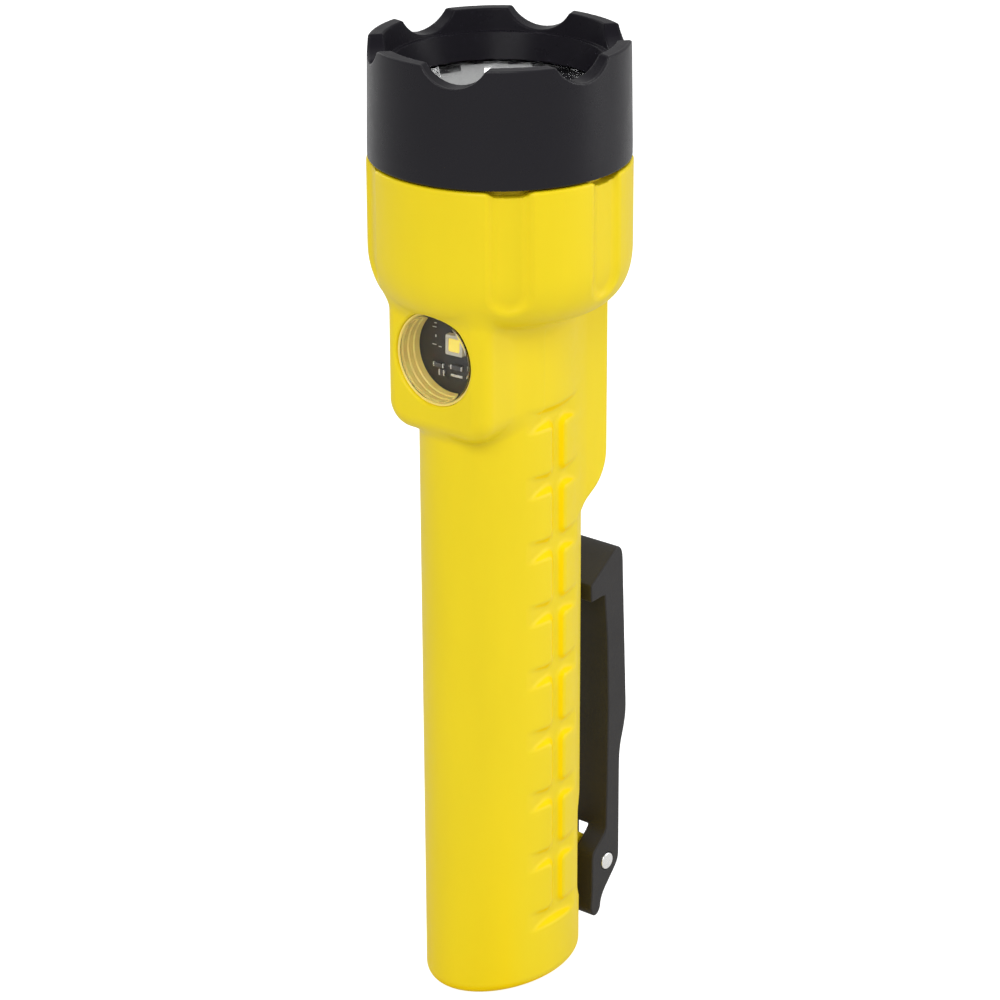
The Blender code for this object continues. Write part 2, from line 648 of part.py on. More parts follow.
clear_scene()
PARTS = new_collection("firefighter_flashlight")
CUTTERS = new_collection("cutters")
body_housing()
bezel()
spot_light()
head_o_ring()
chassis()
flood_light()
switches()
batteries()
clip()
clip_spring()
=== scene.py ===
"""Looks of the two-light firefighter's hand light: fine surfaces, materials, light and camera.

The larger mouldings are described as signed distances in millimetres and meshed with OpenVDB, so that
every edge is rounded and every joint between shapes has its fillet. Round pieces are turned profiles.
"""
import json
import math

import bpy
import numpy as np
import openvdb
from mathutils import Matrix, Vector


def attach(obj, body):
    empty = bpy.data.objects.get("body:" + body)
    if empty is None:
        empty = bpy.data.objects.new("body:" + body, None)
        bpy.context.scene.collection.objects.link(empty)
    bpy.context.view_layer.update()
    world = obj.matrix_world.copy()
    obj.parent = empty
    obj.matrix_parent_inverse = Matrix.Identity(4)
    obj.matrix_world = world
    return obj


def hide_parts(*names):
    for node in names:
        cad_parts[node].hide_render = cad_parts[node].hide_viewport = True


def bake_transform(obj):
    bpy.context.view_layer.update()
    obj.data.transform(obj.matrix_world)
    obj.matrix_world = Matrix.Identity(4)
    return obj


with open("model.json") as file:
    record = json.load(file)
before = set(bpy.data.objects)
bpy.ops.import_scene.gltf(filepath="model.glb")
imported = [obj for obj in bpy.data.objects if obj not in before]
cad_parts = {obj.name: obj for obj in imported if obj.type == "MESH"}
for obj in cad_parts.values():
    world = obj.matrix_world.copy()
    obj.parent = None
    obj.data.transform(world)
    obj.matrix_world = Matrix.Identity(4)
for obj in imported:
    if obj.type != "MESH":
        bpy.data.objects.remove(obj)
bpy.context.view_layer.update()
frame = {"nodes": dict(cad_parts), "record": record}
MM = 0.001

# Body, in millimetres
SEAM_Z = 157.0
HEAD_R = 23.2
SHOULDER_Z, SHOULDER_DOWN, SHOULDER_IN, SHOULDER_FULL = 142.0, 11.0, 9.0, 2.4
HANDLE_X, HANDLE_Y, HANDLE_TOP_Z = 12.4, 17.0, 135.0
BASE_EDGE, DRAFT, DRAFT_TOP_Z = 2.4, 0.0016, 100.0
WALL, ROOM_TOP_Z = 2.0, 134.0
RECESS_Z, RECESS_HALF, RECESS_HALF_Z, RECESS_CORNER, RECESS_DEPTH = 22.0, 9.8, 12.3, 5.0, 0.5
FLUTE_TURNS = [-140.0, -88.0, -38.0, 43.6, 92.6, 141.0]
FLUTE_FLOOR_HALF, FLUTE_DEPTH, FLUTE_END_Z = 2.7, 1.0, 139.0

# Collar under the bezel
COLLAR_R, COLLAR_TOP_Z = 20.4, 164.0
THREAD_PITCH, THREAD_LOW_Z, THREAD_TOP_Z, THREAD_DEPTH = 3.0, 161.0, 163.6, 0.75
O_RING_R, O_RING_Z, O_RING_WIRE = 20.25, 159.2, 0.42
O_RING_SEAT_LOW_Z, O_RING_SEAT_TOP_Z, O_RING_SEAT_R = 158.3, 160.1, 19.6

# Grip
GROOVES, GROOVE_PITCH, GROOVE_MID_Z = 9, 12.3, 111.8
GROOVE_HALF_Z, GROOVE_HALF, GROOVE_MID_Y = 2.1, 8.0, 0.8
SPINE_HALF, SPINE_Y = 2.1, 1.3
GROOVE_FLOOR_X, FLOOR_LEAN, WALL_LEAN = 11.2, 0.04, 1.35

# Flood light and switches
FLOOD_Z, FLOOD_Y, FLOOD_HALF, FLOOD_LOW_Z, FLOOD_R = 124.5, -18.6, 11.4, 110.0, 8.45
BOARD_R, BOARD_BACK, BOARD_Y, LED_X, LED_Z = 7.9, 12.1, -12.8, 0.55, 125.8
SWITCH_Y, SWITCH_HALF = 18.6, 10.2
SWITCH_SIDE = [(5, 86.6), (16.4, 93.6), (18.5, 97.6), (SWITCH_Y, 138), (5, 138)]
SWITCH_WELL_Z, SWITCH_WELL_HALF, SWITCH_WELL_HALF_Z = 121.0, 6.9, 8.8
BUTTONS = {"spot_button": 125.3, "flood_button": 116.7}
BUTTON_HALF, BUTTON_HALF_Z, BUTTON_TOP_Y, CAP_LOW_Y = 4.9, 3.6, 20.45, 16.2
BUTTON_DISH_Y, BUTTON_DISH_R = 34.0, 13.85
FLANGE_HALF, FLANGE_HALF_Z, FLANGE_LOW_Y, FLANGE_TOP_Y = 6.0, 4.1, 15.3, 16.6
FRAME_HALF, FRAME_LOW_Z, FRAME_TOP_Z = 7.5, 111.2, 130.0
FRAME_MID_Z, FRAME_HALF_Z = (FRAME_LOW_Z + FRAME_TOP_Z) / 2, (FRAME_TOP_Z - FRAME_LOW_Z) / 2
FRAME_LOW_Y, FRAME_TOP_Y, FRAME_SEAT_Y, FRAME_GAP = 16.9, 19.5, 16.6, 0.3

# Short printed strokes on the flood light's board: middle x and z, half width, half height
BOARD_MARKS = [(-4.2, 129.3, 0.4, 0.07), (-4.0, 128.6, 0.25, 0.07), (-4.2, 127.9, 0.4, 0.07),
               (-3.9, 126.4, 0.12, 0.2), (-4.2, 124.9, 0.4, 0.07), (-3.0, 124.7, 0.3, 0.07)]

# Bezel
BEZEL_R, BEZEL_TOP_R, TOTAL_Z, SEAM_GAP = 23.0, 22.7, 178.0, 0.3
TAPER_LOW_Z, TAPER_LENGTH = 160.0, 18.0
TEETH, NOTCH_R, NOTCH_DEPTH, FIRST_TOOTH = 6, 6.5, 3.4, -11.0
MOUTH_R, MOUTH_LOW_Z, MOUTH_LEAN = 19.25, 174.2, 0.26
CONE_R, CONE_Z, CONE_LOW_Z, CONE_LEAN = 16.5, 169.5, 169.0, 0.40
POCKET_R, POCKET_TOP_Z, BORE_R, BORE_TOP_Z = 18.7, 169.6, 20.8, 165.0

# Spot light
LENS_R, LENS_LOW_Z, LENS_TOP_Z = 18.4, 168.05, 169.5
BOWL_TOP_Z, BOWL_LOW_Z, BOWL_THROAT_R, BOWL_MOUTH_R = 167.95, 150.4, 3.4, 17.8
BOWL_FLANGE_R, BOWL_FLANGE_THICK, BOWL_WALL, BOWL_FACETS = 18.25, 1.5, 0.6, 26
CHIP_HALF, CHIP_LOW_Z, CHIP_TOP_Z = 2.0, 149.9, 150.7

# Clip
PIN_Y, PIN_Z, PIN_R = 22.7, 13.5, 1.65
CLIP_HALF, EAR_IN, LUG_IN, LUG_OUT, LUG_R = 7.0, 2.6, 1.3, 2.1, 3.2
RELIEF_X, RELIEF_Z, RELIEF_HALF, RELIEF_HALF_Z, RELIEF_Y = 5.65, 8.9, 3.35, 7.1, 15.2
COIL_R, COIL_HALF, COIL_WIRE_R, COIL_TURNS, COIL_STEPS = 2.7, 0.75, 0.22, 3, 30

# Camera: degrees, metres, and the lens in millimetres
CAMERA_TURN, CAMERA_RISE, CAMERA_ROLL = 39.636, 21.675, -0.245
CAMERA_DISTANCE, CAMERA_TARGET_Z, CAMERA_ASIDE, CAMERA_LENS = 0.66356, 0.09278, 0.000234, 133.06


# ---------------------------------------------------------------- signed distances

def union(a, b, fillet=0.0):
    """Both shapes, with a round fillet in the corner between them."""
    if not fillet:
        return np.minimum(a, b)
    inner = np.hypot(np.maximum(fillet - a, 0), np.maximum(fillet - b, 0))
    return np.maximum(fillet, np.minimum(a, b)) - inner


def meet(a, b, rounding=0.0):
    """What both shapes share, with its edge rounded."""
    return -union(-a, -b, rounding)


def cut(a, b, rounding=0.0):
    return meet(a, -b, rounding)


def oval(x, y, half_x, half_y):
    size = np.hypot(x / half_x, y / half_y)
    return size * (size - 1) / np.maximum(np.hypot(x / half_x ** 2, y / half_y ** 2), 1e-6)


def rectangle(u, v, half_u, half_v, corner=0.0):
    u, v = np.abs(u) - half_u + corner, np.abs(v) - half_v + corner
    return np.hypot(np.maximum(u, 0), np.maximum(v, 0)) + np.minimum(np.maximum(u, v), 0) - corner


def span(v, low, high):
    return np.maximum(low - v, v - high)


def outline_distance(u, v, points):
    """Signed distance to a closed outline, negative inside."""
    nearest = np.full(u.shape, 1e9, u.dtype)
    inside = np.zeros(u.shape, bool)
    for (u0, v0), (u1, v1) in zip(points, points[1:] + points[:1]):
        du, dv = u1 - u0, v1 - v0
        share = np.clip(((u - u0) * du + (v - v0) * dv) / (du * du + dv * dv), 0, 1)
        np.minimum(nearest, (u - u0 - share * du) ** 2 + (v - v0 - share * dv) ** 2, out=nearest)
        if dv:
            crosses = ((v0 > v) != (v1 > v)) & (u < u0 + (v - v0) * du / dv)
            inside ^= crosses
    nearest = np.sqrt(nearest)
    return np.where(inside, -nearest, nearest)


def softened(points, radius, steps=5):
    """The outline with each corner drawn as a small curve. A third value is a corner's own radius."""
    corners = [Vector(p[:2]) for p in points]
    soft = []
    for i, corner in enumerate(corners):
        before, after = corners[i - 1] - corner, corners[(i + 1) % len(corners)] - corner
        radius_here = points[i][2] if len(points[i]) > 2 else radius
        start = corner + before.normalized() * min(radius_here, before.length * 0.45)
        end = corner + after.normalized() * min(radius_here, after.length * 0.45)
        for k in range(steps):
            t = k / (steps - 1)
            soft.append(tuple(start * (1 - t) ** 2 + corner * 2 * t * (1 - t) + end * t ** 2))
    return soft


def arc(middle, radius, start, end, steps):
    turns = [math.radians(start + (end - start) * i / (steps - 1)) for i in range(steps)]
    return [(middle[0] + radius * math.cos(t), middle[1] + radius * math.sin(t)) for t in turns]


# ---------------------------------------------------------------- meshes

def slopes(shape, points):
    """Unit slope of a signed distance at each point."""
    step = 0.01
    found = np.empty_like(points)
    for axis in range(3):
        shift = np.zeros(3)
        shift[axis] = step
        found[:, axis] = shape(*(points + shift).T) - shape(*(points - shift).T)
    return found / np.maximum(np.linalg.norm(found, axis=1, keepdims=True), 1e-9)


def settle(shape, points, reach):
    """Moves points that lie near the surface onto it."""
    for _ in range(3):
        distance = np.clip(shape(*points.T), -reach, reach)
        points = points - distance[:, None] * slopes(shape, points)
    return points


def coordinates(mesh):
    flat = np.empty(len(mesh.vertices) * 3, np.float32)
    mesh.vertices.foreach_get("co", flat)
    return flat.reshape(-1, 3).astype(float)


def link(mesh, name):
    made = bpy.data.objects.new(name, mesh)
    bpy.context.scene.collection.objects.link(made)
    return made


def carved(name, shape, low, high, cell, faces):
    """Meshes a signed distance between two corners, thinned to about that many triangles. Its shading
    comes from the distance itself, so thin faces don't show."""
    low = np.array(low) - 2 * cell
    counts = np.ceil((np.array(high) + 2 * cell - low) / cell).astype(int)
    axes = [(low[i] + cell * np.arange(counts[i])).astype(np.float32) for i in range(3)]
    grid = openvdb.FloatGrid(3.0 * cell)
    layers = 48
    for start in range(0, counts[2], layers):
        x, y, z = np.meshgrid(axes[0], axes[1], axes[2][start:start + layers], indexing="ij")
        values = np.clip(shape(x, y, z), -3 * cell, 3 * cell).astype(np.float32)
        grid.copyFromArray(values, ijk=(0, 0, start))
    points, triangles, quads = grid.convertToPolygons(isovalue=0.0, adaptivity=0.0)
    points = settle(shape, low + cell * points.astype(float), cell)
    mesh = bpy.data.meshes.new(name)
    mesh.from_pydata((points * MM).tolist(), [], quads.tolist() + triangles.tolist())
    made = link(mesh, name)
    thin = made.modifiers.new("thin", "DECIMATE")
    thin.ratio = min(1.0, faces / (2 * len(quads) + len(triangles) + 1))
    graph = bpy.context.evaluated_depsgraph_get()
    made.data = bpy.data.meshes.new_from_object(made.evaluated_get(graph))
    made.modifiers.clear()
    bpy.data.meshes.remove(mesh)
    made.data.name = name
    points = settle(shape, coordinates(made.data) / MM, 0.1 * cell)
    made.data.vertices.foreach_set("co", (points * MM).astype(np.float32).ravel())
    made.data.shade_smooth()
    made.data.normals_split_custom_set_from_vertices(slopes(shape, points))
    made.data.update()
    return made


def turned(name, profile, steps=96, middle=(0, 0, 0), along_y=False, sharp=35):
    """Turns (radius, height) points about +Z, or about -Y. A closed profile ends where it starts, and an
    open one starts and ends on the axis. Points run down the outer side."""
    points, faces, rings = [], [], []
    for radius, height in profile:
        count = steps if radius > 1e-6 else 1
        rings.append(range(len(points), len(points) + count))
        for i in range(count):
            turn = 2 * math.pi * i / steps
            points.append((radius * math.cos(turn), radius * math.sin(turn), height))
    if profile[0] == profile[-1] and profile[0][0] > 1e-6:
        rings[-1] = rings[0]
        points = points[:-steps]
    for upper, lower in zip(rings, rings[1:]):
        for i in range(steps):
            j = (i + 1) % steps
            face = [upper[i % len(upper)], lower[i % len(lower)]]
            face += [lower[j % len(lower)], upper[j % len(upper)]]
            faces.append(list(dict.fromkeys(face)))
    mesh = bpy.data.meshes.new(name)
    mesh.from_pydata([tuple(c * MM for c in p) for p in points], [], faces)
    place = Matrix.Translation(Vector(middle) * MM)
    if along_y:
        place = place @ Matrix.Rotation(math.radians(90), 4, "X")
    mesh.transform(place)
    mesh.shade_smooth()
    mesh.set_sharp_from_angle(angle=math.radians(sharp))
    return link(mesh, name)


def slab(name, low, high):
    """A plain block between two corners."""
    corners = [(x, y, z) for x in (low[0], high[0]) for y in (low[1], high[1]) for z in (low[2], high[2])]
    faces = [(0, 1, 3, 2), (4, 6, 7, 5), (0, 4, 5, 1), (2, 3, 7, 6), (0, 2, 6, 4), (1, 5, 7, 3)]
    mesh = bpy.data.meshes.new(name)
    mesh.from_pydata([tuple(c * MM for c in corner) for corner in corners], [], faces)
    return link(mesh, name)


def bar_profile(radius, low, high, edge):
    """A solid disc or bar with rounded rims."""
    top = arc((radius - edge, high - edge), edge, 90, 0, 5)
    return [(0, high)] + top + arc((radius - edge, low + edge), edge, 0, -90, 5) + [(0, low)]


def ring_profile(inner, outer, low, high, edge):
    points = arc((outer - edge, high - edge), edge, 90, 0, 5)
    points += arc((outer - edge, low + edge), edge, 0, -90, 5)
    points += arc((inner + edge, low + edge), edge, -90, -180, 5)
    points += arc((inner + edge, high - edge), edge, 180, 90, 5)
    return points + points[:1]


def wire(name, points, radius, sides=12):
    """A round wire through the points, as a mesh."""
    curve = bpy.data.curves.new(name, "CURVE")
    curve.dimensions = "3D"
    curve.bevel_depth = radius * MM
    curve.bevel_resolution = sides // 4
    curve.use_fill_caps = True
    spline = curve.splines.new("POLY")
    spline.points.add(len(points) - 1)
    for point, at in zip(spline.points, points):
        point.co = (*(c * MM for c in at), 1)
    holder = link(curve, name)
    mesh = bpy.data.meshes.new_from_object(holder.evaluated_get(bpy.context.evaluated_depsgraph_get()))
    bpy.data.objects.remove(holder)
    mesh.shade_smooth()
    return link(mesh, name)


# ---------------------------------------------------------------- materials

class Nodes:
    """A material's node tree, with short ways to add what most of them need."""

    def __init__(self, name, colour, roughness, metallic=0.0, **sockets):
        self.material = bpy.data.materials.new(name)
        self.material.use_nodes = True
        self.tree = self.material.node_tree
        self.shader = self.tree.nodes["Principled BSDF"]
        self.output = self.tree.nodes["Material Output"]
        self.place = self.add("ShaderNodeTexCoord").outputs["Object"]
        self.colour, self.roughness = colour, roughness
        self.shader.inputs["Base Color"].default_value = (*colour, 1)
        self.shader.inputs["Roughness"].default_value = roughness
        self.shader.inputs["Metallic"].default_value = metallic
        for socket, value in sockets.items():
            self.shader.inputs[socket.replace("_", " ")].default_value = value

    def add(self, kind, **settings):
        node = self.tree.nodes.new(kind)
        for key, value in settings.items():
            setattr(node, key, value)
        return node

    def link(self, source, target):
        self.tree.links.new(source, target)

    def noise(self, scale, detail=3.0, stretch=None, roughness=0.55):
        """Noise whose grain is about 1000 / scale millimetres wide."""
        node = self.add("ShaderNodeTexNoise")
        node.inputs["Scale"].default_value = scale
        node.inputs["Detail"].default_value = detail
        node.inputs["Roughness"].default_value = roughness
        source = self.place
        if stretch:
            mapping = self.add("ShaderNodeMapping")
            mapping.inputs["Scale"].default_value = stretch
            self.link(source, mapping.inputs["Vector"])
            source = mapping.outputs["Vector"]
        self.link(source, node.inputs["Vector"])
        return node.outputs["Fac"]

    def spread(self, source, low, high, into=None, clip=(0.3, 0.7)):
        """Maps a pattern's middle range to low..high."""
        node = self.add("ShaderNodeMapRange")
        node.inputs["From Min"].default_value, node.inputs["From Max"].default_value = clip
        node.inputs["To Min"].default_value = low
        node.inputs["To Max"].default_value = high
        self.link(source, node.inputs["Value"])
        if into:
            self.link(node.outputs["Result"], self.shader.inputs[into])
        return node.outputs["Result"]

    def tint(self, source, dark, light, clip=(0.3, 0.7)):
        """Base colour between two colours, by a pattern."""
        mix = self.add("ShaderNodeMix", data_type="RGBA")
        self.link(self.spread(source, 0.0, 1.0, clip=clip), mix.inputs["Factor"])
        mix.inputs[6].default_value = (*dark, 1)
        mix.inputs[7].default_value = (*light, 1)
        self.link(mix.outputs[2], self.shader.inputs["Base Color"])
        return mix.outputs[2]

    def bump(self, source, height, strength=1.0, after=None):
        """Relief of that height in millimetres."""
        node = self.add("ShaderNodeBump")
        node.inputs["Strength"].default_value = strength
        node.inputs["Distance"].default_value = height * MM
        self.link(source, node.inputs["Height"])
        if after:
            self.link(after, node.inputs["Normal"])
        self.link(node.outputs["Normal"], self.shader.inputs["Normal"])
        return node.outputs["Normal"]


def shade(colour, factor):
    return tuple(min(c * factor, 1.0) for c in colour)


def moulded(name, colour, roughness, grain=0.02, grain_scale=2600, mottle=0.04, **sockets):
    """Moulded plastic or rubber: slight mottling, a fine spark-eroded grain and uneven gloss."""
    m = Nodes(name, colour, roughness, **sockets)
    cloud = m.noise(90, 4)
    m.tint(cloud, shade(colour, 1 - mottle), shade(colour, 1 + mottle))
    fine = m.noise(grain_scale, 2)
    m.spread(m.noise(260, 5, roughness=0.65), roughness - 0.05, roughness + 0.05, "Roughness")
    low = m.bump(m.noise(140, 2), grain * 3, 0.25)
    m.bump(fine, grain, 0.8, after=low)
    return m.material


def metal(name, colour, roughness, stretch=(1, 1, 1), grain=0.004, scale=900, **sockets):
    """Bare metal with fine drawn or turned marks."""
    m = Nodes(name, colour, roughness, 1.0, **sockets)
    marks = m.noise(scale, 4, stretch=stretch)
    m.tint(m.noise(160, 3), shade(colour, 0.94), shade(colour, 1.04))
    m.spread(marks, roughness - 0.06, roughness + 0.08, "Roughness")
    m.bump(marks, grain, 0.6)
    return m.material


def clear(name, tint, ior, haze):
    """Solid clear plastic with the faint unevenness of a moulding."""
    m = Nodes(name, tint, haze, Transmission_Weight=1.0, IOR=ior)
    m.spread(m.noise(300, 3), haze, haze * 2, "Roughness")
    m.bump(m.noise(120, 2), 0.004, 0.3)
    return m.material


def painted_groove_bounce(m):
    """1 on the steep walls of the grip's grooves, where light is painted: a purer, more saturated yellow as
    painted bounce light and a weaker reflection as painted shade.
    """
    scaled = m.add("ShaderNodeVectorMath", operation="MULTIPLY")
    scaled.inputs[1].default_value = (1 / (HANDLE_X * MM), 1 / (HANDLE_Y * MM), 0)
    m.link(m.place, scaled.inputs[0])
    size = m.add("ShaderNodeVectorMath", operation="LENGTH")
    m.link(scaled.outputs["Vector"], size.inputs[0])
    normal = m.add("ShaderNodeSeparateXYZ")
    m.link(m.add("ShaderNodeTexCoord").outputs["Normal"], normal.inputs[0])
    facing = m.add("ShaderNodeMath", operation="ABSOLUTE")
    m.link(normal.outputs["X"], facing.inputs[0])
    both = m.add("ShaderNodeMath", operation="MULTIPLY")
    m.link(m.spread(size.outputs["Value"], 1.0, 0.0, clip=(0.982, 0.994)), both.inputs[0])
    m.link(m.spread(facing.outputs["Value"], 1.0, 0.0, clip=(0.86, 0.955)), both.inputs[1])
    return both.outputs["Value"]


def yellow_nylon():
    """Glass-filled nylon: saturated yellow, a satin skin, faint flow marks along the handle."""
    colour = (0.90, 0.69, 0.006)
    m = Nodes("yellow_nylon", colour, 0.42, Subsurface_Weight=0.06, Subsurface_Scale=0.0012,
              Subsurface_Radius=(1.0, 0.55, 0.08))
    flow = m.noise(60, 4, stretch=(1, 1, 0.25))
    skin = m.tint(flow, shade(colour, 0.965), shade(colour, 1.03))
    walls = painted_groove_bounce(m)
    # On the groove walls the skin colour gives way to a purer yellow, which is painted bounce light, and
    # below the reflection is turned down, which is painted shade.
    mix = m.add("ShaderNodeMix", data_type="RGBA")
    m.link(walls, mix.inputs["Factor"])
    m.link(skin, mix.inputs[6])
    mix.inputs[7].default_value = (1.0, 0.70, 0.0, 1)
    m.link(mix.outputs[2], m.shader.inputs["Base Color"])
    m.spread(walls, 0.3, 0.04, "Specular IOR Level", clip=(0, 1))
    m.spread(m.noise(420, 5, roughness=0.65), 0.37, 0.47, "Roughness")
    low = m.bump(m.noise(110, 2), 0.05, 0.2)
    m.bump(m.noise(2400, 3), 0.018, 0.7, after=low)
    return m.material


def black_nylon():
    """Near-black nylon with a faint violet cast. Its reflection is full on the bezel's outside and turned
    down within its rim, a painted shade inside the mouth and on the teeth.
    """
    colour = (0.0105, 0.0095, 0.0130)
    m = Nodes("black_nylon", colour, 0.38)
    m.tint(m.noise(90, 4), shade(colour, 0.96), shade(colour, 1.04))
    flat = m.add("ShaderNodeVectorMath", operation="MULTIPLY")
    flat.inputs[1].default_value = (1, 1, 0)
    m.link(m.place, flat.inputs[0])
    reach = m.add("ShaderNodeVectorMath", operation="LENGTH")
    m.link(flat.outputs["Vector"], reach.inputs[0])
    # Reflection strength by distance from the axis: turned down inside the bezel's rim as painted shade,
    # full on its outside.
    edge = (BEZEL_TOP_R - 0.6) * MM, (BEZEL_TOP_R - 0.1) * MM
    m.spread(reach.outputs["Value"], 0.06, 0.25, "Specular IOR Level", clip=edge)
    m.spread(m.noise(260, 5, roughness=0.65), 0.25, 0.34, "Roughness")
    low = m.bump(m.noise(140, 2), 0.036, 0.25)
    m.bump(m.noise(3000, 2), 0.012, 0.8, after=low)
    return m.material


def black_board(name, mask, mark):
    """Solder mask with a few fine printed strokes and pads that spell nothing."""
    m = Nodes(name, mask, 0.35)
    cells = m.add("ShaderNodeTexVoronoi", distance="CHEBYCHEV", feature="F1")
    cells.inputs["Scale"].default_value = 620
    cells.inputs["Randomness"].default_value = 0.75
    m.link(m.place, cells.inputs["Vector"])
    dots = m.spread(cells.outputs["Distance"], 1.0, 0.0, clip=(0.10, 0.14))
    some = m.spread(m.noise(330, 1), 0.0, 1.0, clip=(0.56, 0.58))
    both = m.add("ShaderNodeMath", operation="MULTIPLY")
    m.link(dots, both.inputs[0])
    m.link(some, both.inputs[1])
    mix = m.add("ShaderNodeMix", data_type="RGBA")
    m.link(both.outputs["Value"], mix.inputs["Factor"])
    mix.inputs[6].default_value = (*mask, 1)
    mix.inputs[7].default_value = (*mark, 1)
    m.link(mix.outputs[2], m.shader.inputs["Base Color"])
    m.spread(m.noise(800, 3), 0.28, 0.42, "Roughness")
    m.bump(m.noise(1500, 2), 0.01, 0.4)
    return m.material


def silicone(name, colour, painted_glow):
    """Milky silicone. Its emission is a painted glow that stands in for the light it carries in from its
    front edge, and its yellow base colour is partly a painted reflection of the yellow housing around it.
    """
    m = Nodes(name, colour, 0.3, Subsurface_Weight=0.25, Subsurface_Scale=0.001, Specular_IOR_Level=0.35)
    m.tint(m.noise(500, 3), shade(colour, 0.93), shade(colour, 1.04))
    # The emission is a painted glow: the ring is no lamp.
    m.shader.inputs["Emission Color"].default_value = (*shade(colour, 0.95), 1)
    m.shader.inputs["Emission Strength"].default_value = painted_glow
    m.bump(m.noise(900, 2), 0.006, 0.5)
    return m.material


def phosphor(name, colour, painted_glow):
    m = Nodes(name, colour, 0.35)
    m.tint(m.noise(3000, 2), shade(colour, 0.92), shade(colour, 1.05))
    # The emission is painted light: it brightens the unlit phosphor beyond what the lamps give it.
    m.shader.inputs["Emission Color"].default_value = (*colour, 1)
    m.shader.inputs["Emission Strength"].default_value = painted_glow
    m.spread(m.noise(1200, 2), 0.3, 0.45, "Roughness")
    return m.material


MATERIALS = {
    "yellow_nylon": yellow_nylon(),
    "black_nylon": black_nylon(),
    "clip_nylon": moulded("clip_nylon", (0.021, 0.019, 0.019), 0.46, grain=0.03, grain_scale=2300,
                          mottle=0.08, Specular_IOR_Level=0.36),
    "clear_plastic": clear("clear_plastic", (0.98, 0.985, 0.98), 1.22, 0.01),
    "black_rubber": moulded("black_rubber", (0.018, 0.018, 0.019), 0.72, grain=0.02, grain_scale=1800),
    "button_rubber": moulded("button_rubber", (0.02, 0.02, 0.021), 0.62, grain=0.03, grain_scale=1600),
    "grey_rubber": moulded("grey_rubber", (0.12, 0.12, 0.125), 0.75, grain=0.02, grain_scale=1500),
    "clear_silicone": silicone("clear_silicone", (0.90, 0.70, 0.19), 0.13),
    "bright_reflector": metal("bright_reflector", (0.97, 0.97, 0.98), 0.06, grain=0.001, scale=500),
    "aluminium": metal("aluminium", (0.68, 0.69, 0.71), 0.34, stretch=(1, 1, 12)),
    "spring_steel": metal("spring_steel", (0.45, 0.45, 0.46), 0.3),
    "pin_steel": metal("pin_steel", (0.97, 0.97, 0.97), 0.28, grain=0.003, scale=2200),
    "brass": metal("brass", (0.72, 0.52, 0.22), 0.32),
    "board_white": moulded("board_white", (0.80, 0.80, 0.77), 0.4, grain=0.01),
    "board_black": black_board("board_black", (0.022, 0.02, 0.021), (0.18, 0.17, 0.16)),
    "board_green": black_board("board_green", (0.02, 0.13, 0.045), (0.5, 0.52, 0.5)),
    "led_phosphor": phosphor("led_phosphor", (0.95, 0.76, 0.13), 0.42),
    "led_ceramic": moulded("led_ceramic", (0.78, 0.76, 0.68), 0.35, grain=0.006, mottle=0.03),
    "grey_plastic": moulded("grey_plastic", (0.09, 0.09, 0.095), 0.5),
    "cell_sleeve": moulded("cell_sleeve", (0.04, 0.08, 0.2), 0.3, grain=0.004),
}


def finish_piece(obj, slot, body, *nodes):
    """Gives a new piece its material, its body and the CAD nodes that it stands for."""
    obj.data.materials.clear()
    obj.data.materials.append(MATERIALS[slot])
    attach(obj, body)
    if nodes:
        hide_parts(*nodes)
    return obj


# ---------------------------------------------------------------- housing

def head(z, r):
    """The round head, which narrows below in a full, superelliptic shoulder."""
    across = np.maximum(r - HEAD_R + SHOULDER_IN, 0.001) / SHOULDER_IN
    down = np.maximum(SHOULDER_Z - z, 0.001) / SHOULDER_DOWN
    size = (across ** SHOULDER_FULL + down ** SHOULDER_FULL) ** (1 / SHOULDER_FULL)
    slope = np.hypot((across / size) ** (SHOULDER_FULL - 1) / SHOULDER_IN,
                     (down / size) ** (SHOULDER_FULL - 1) / SHOULDER_DOWN)
    return meet((size - 1) / np.maximum(slope, 0.03), z - SEAM_Z, 0.5)


def flutes(x, y, z, out):
    """Shallow channels round the head, of even depth under its surface, with a round lower end."""
    nearest = np.full(np.shape(x), 1e3)
    for turn in FLUTE_TURNS:
        turn = math.radians(turn)
        aside = np.abs(x * math.cos(turn) + y * math.sin(turn))
        behind = x * math.sin(turn) - y * math.cos(turn) < 0
        nearest = np.minimum(nearest, np.where(behind, 1e3, aside))
    nearest = np.hypot(nearest, np.minimum(z - FLUTE_END_Z, 0))
    walls = (nearest - FLUTE_FLOOR_HALF - (out + FLUTE_DEPTH)) / math.sqrt(2)
    return meet(walls, -FLUTE_DEPTH - out, 0.6)


def flood_boss(x, y, z):
    face = rectangle(x, z - FLOOD_LOW_Z - 18, FLOOD_HALF, 18, 5.0)
    return np.maximum(meet(face, FLOOD_Y - y, 3.1), y + 4)


def switch_boss(x, y, z):
    return meet(outline_distance(y, z, softened(SWITCH_SIDE, 2.2)), np.abs(x) - SWITCH_HALF, 1.5)


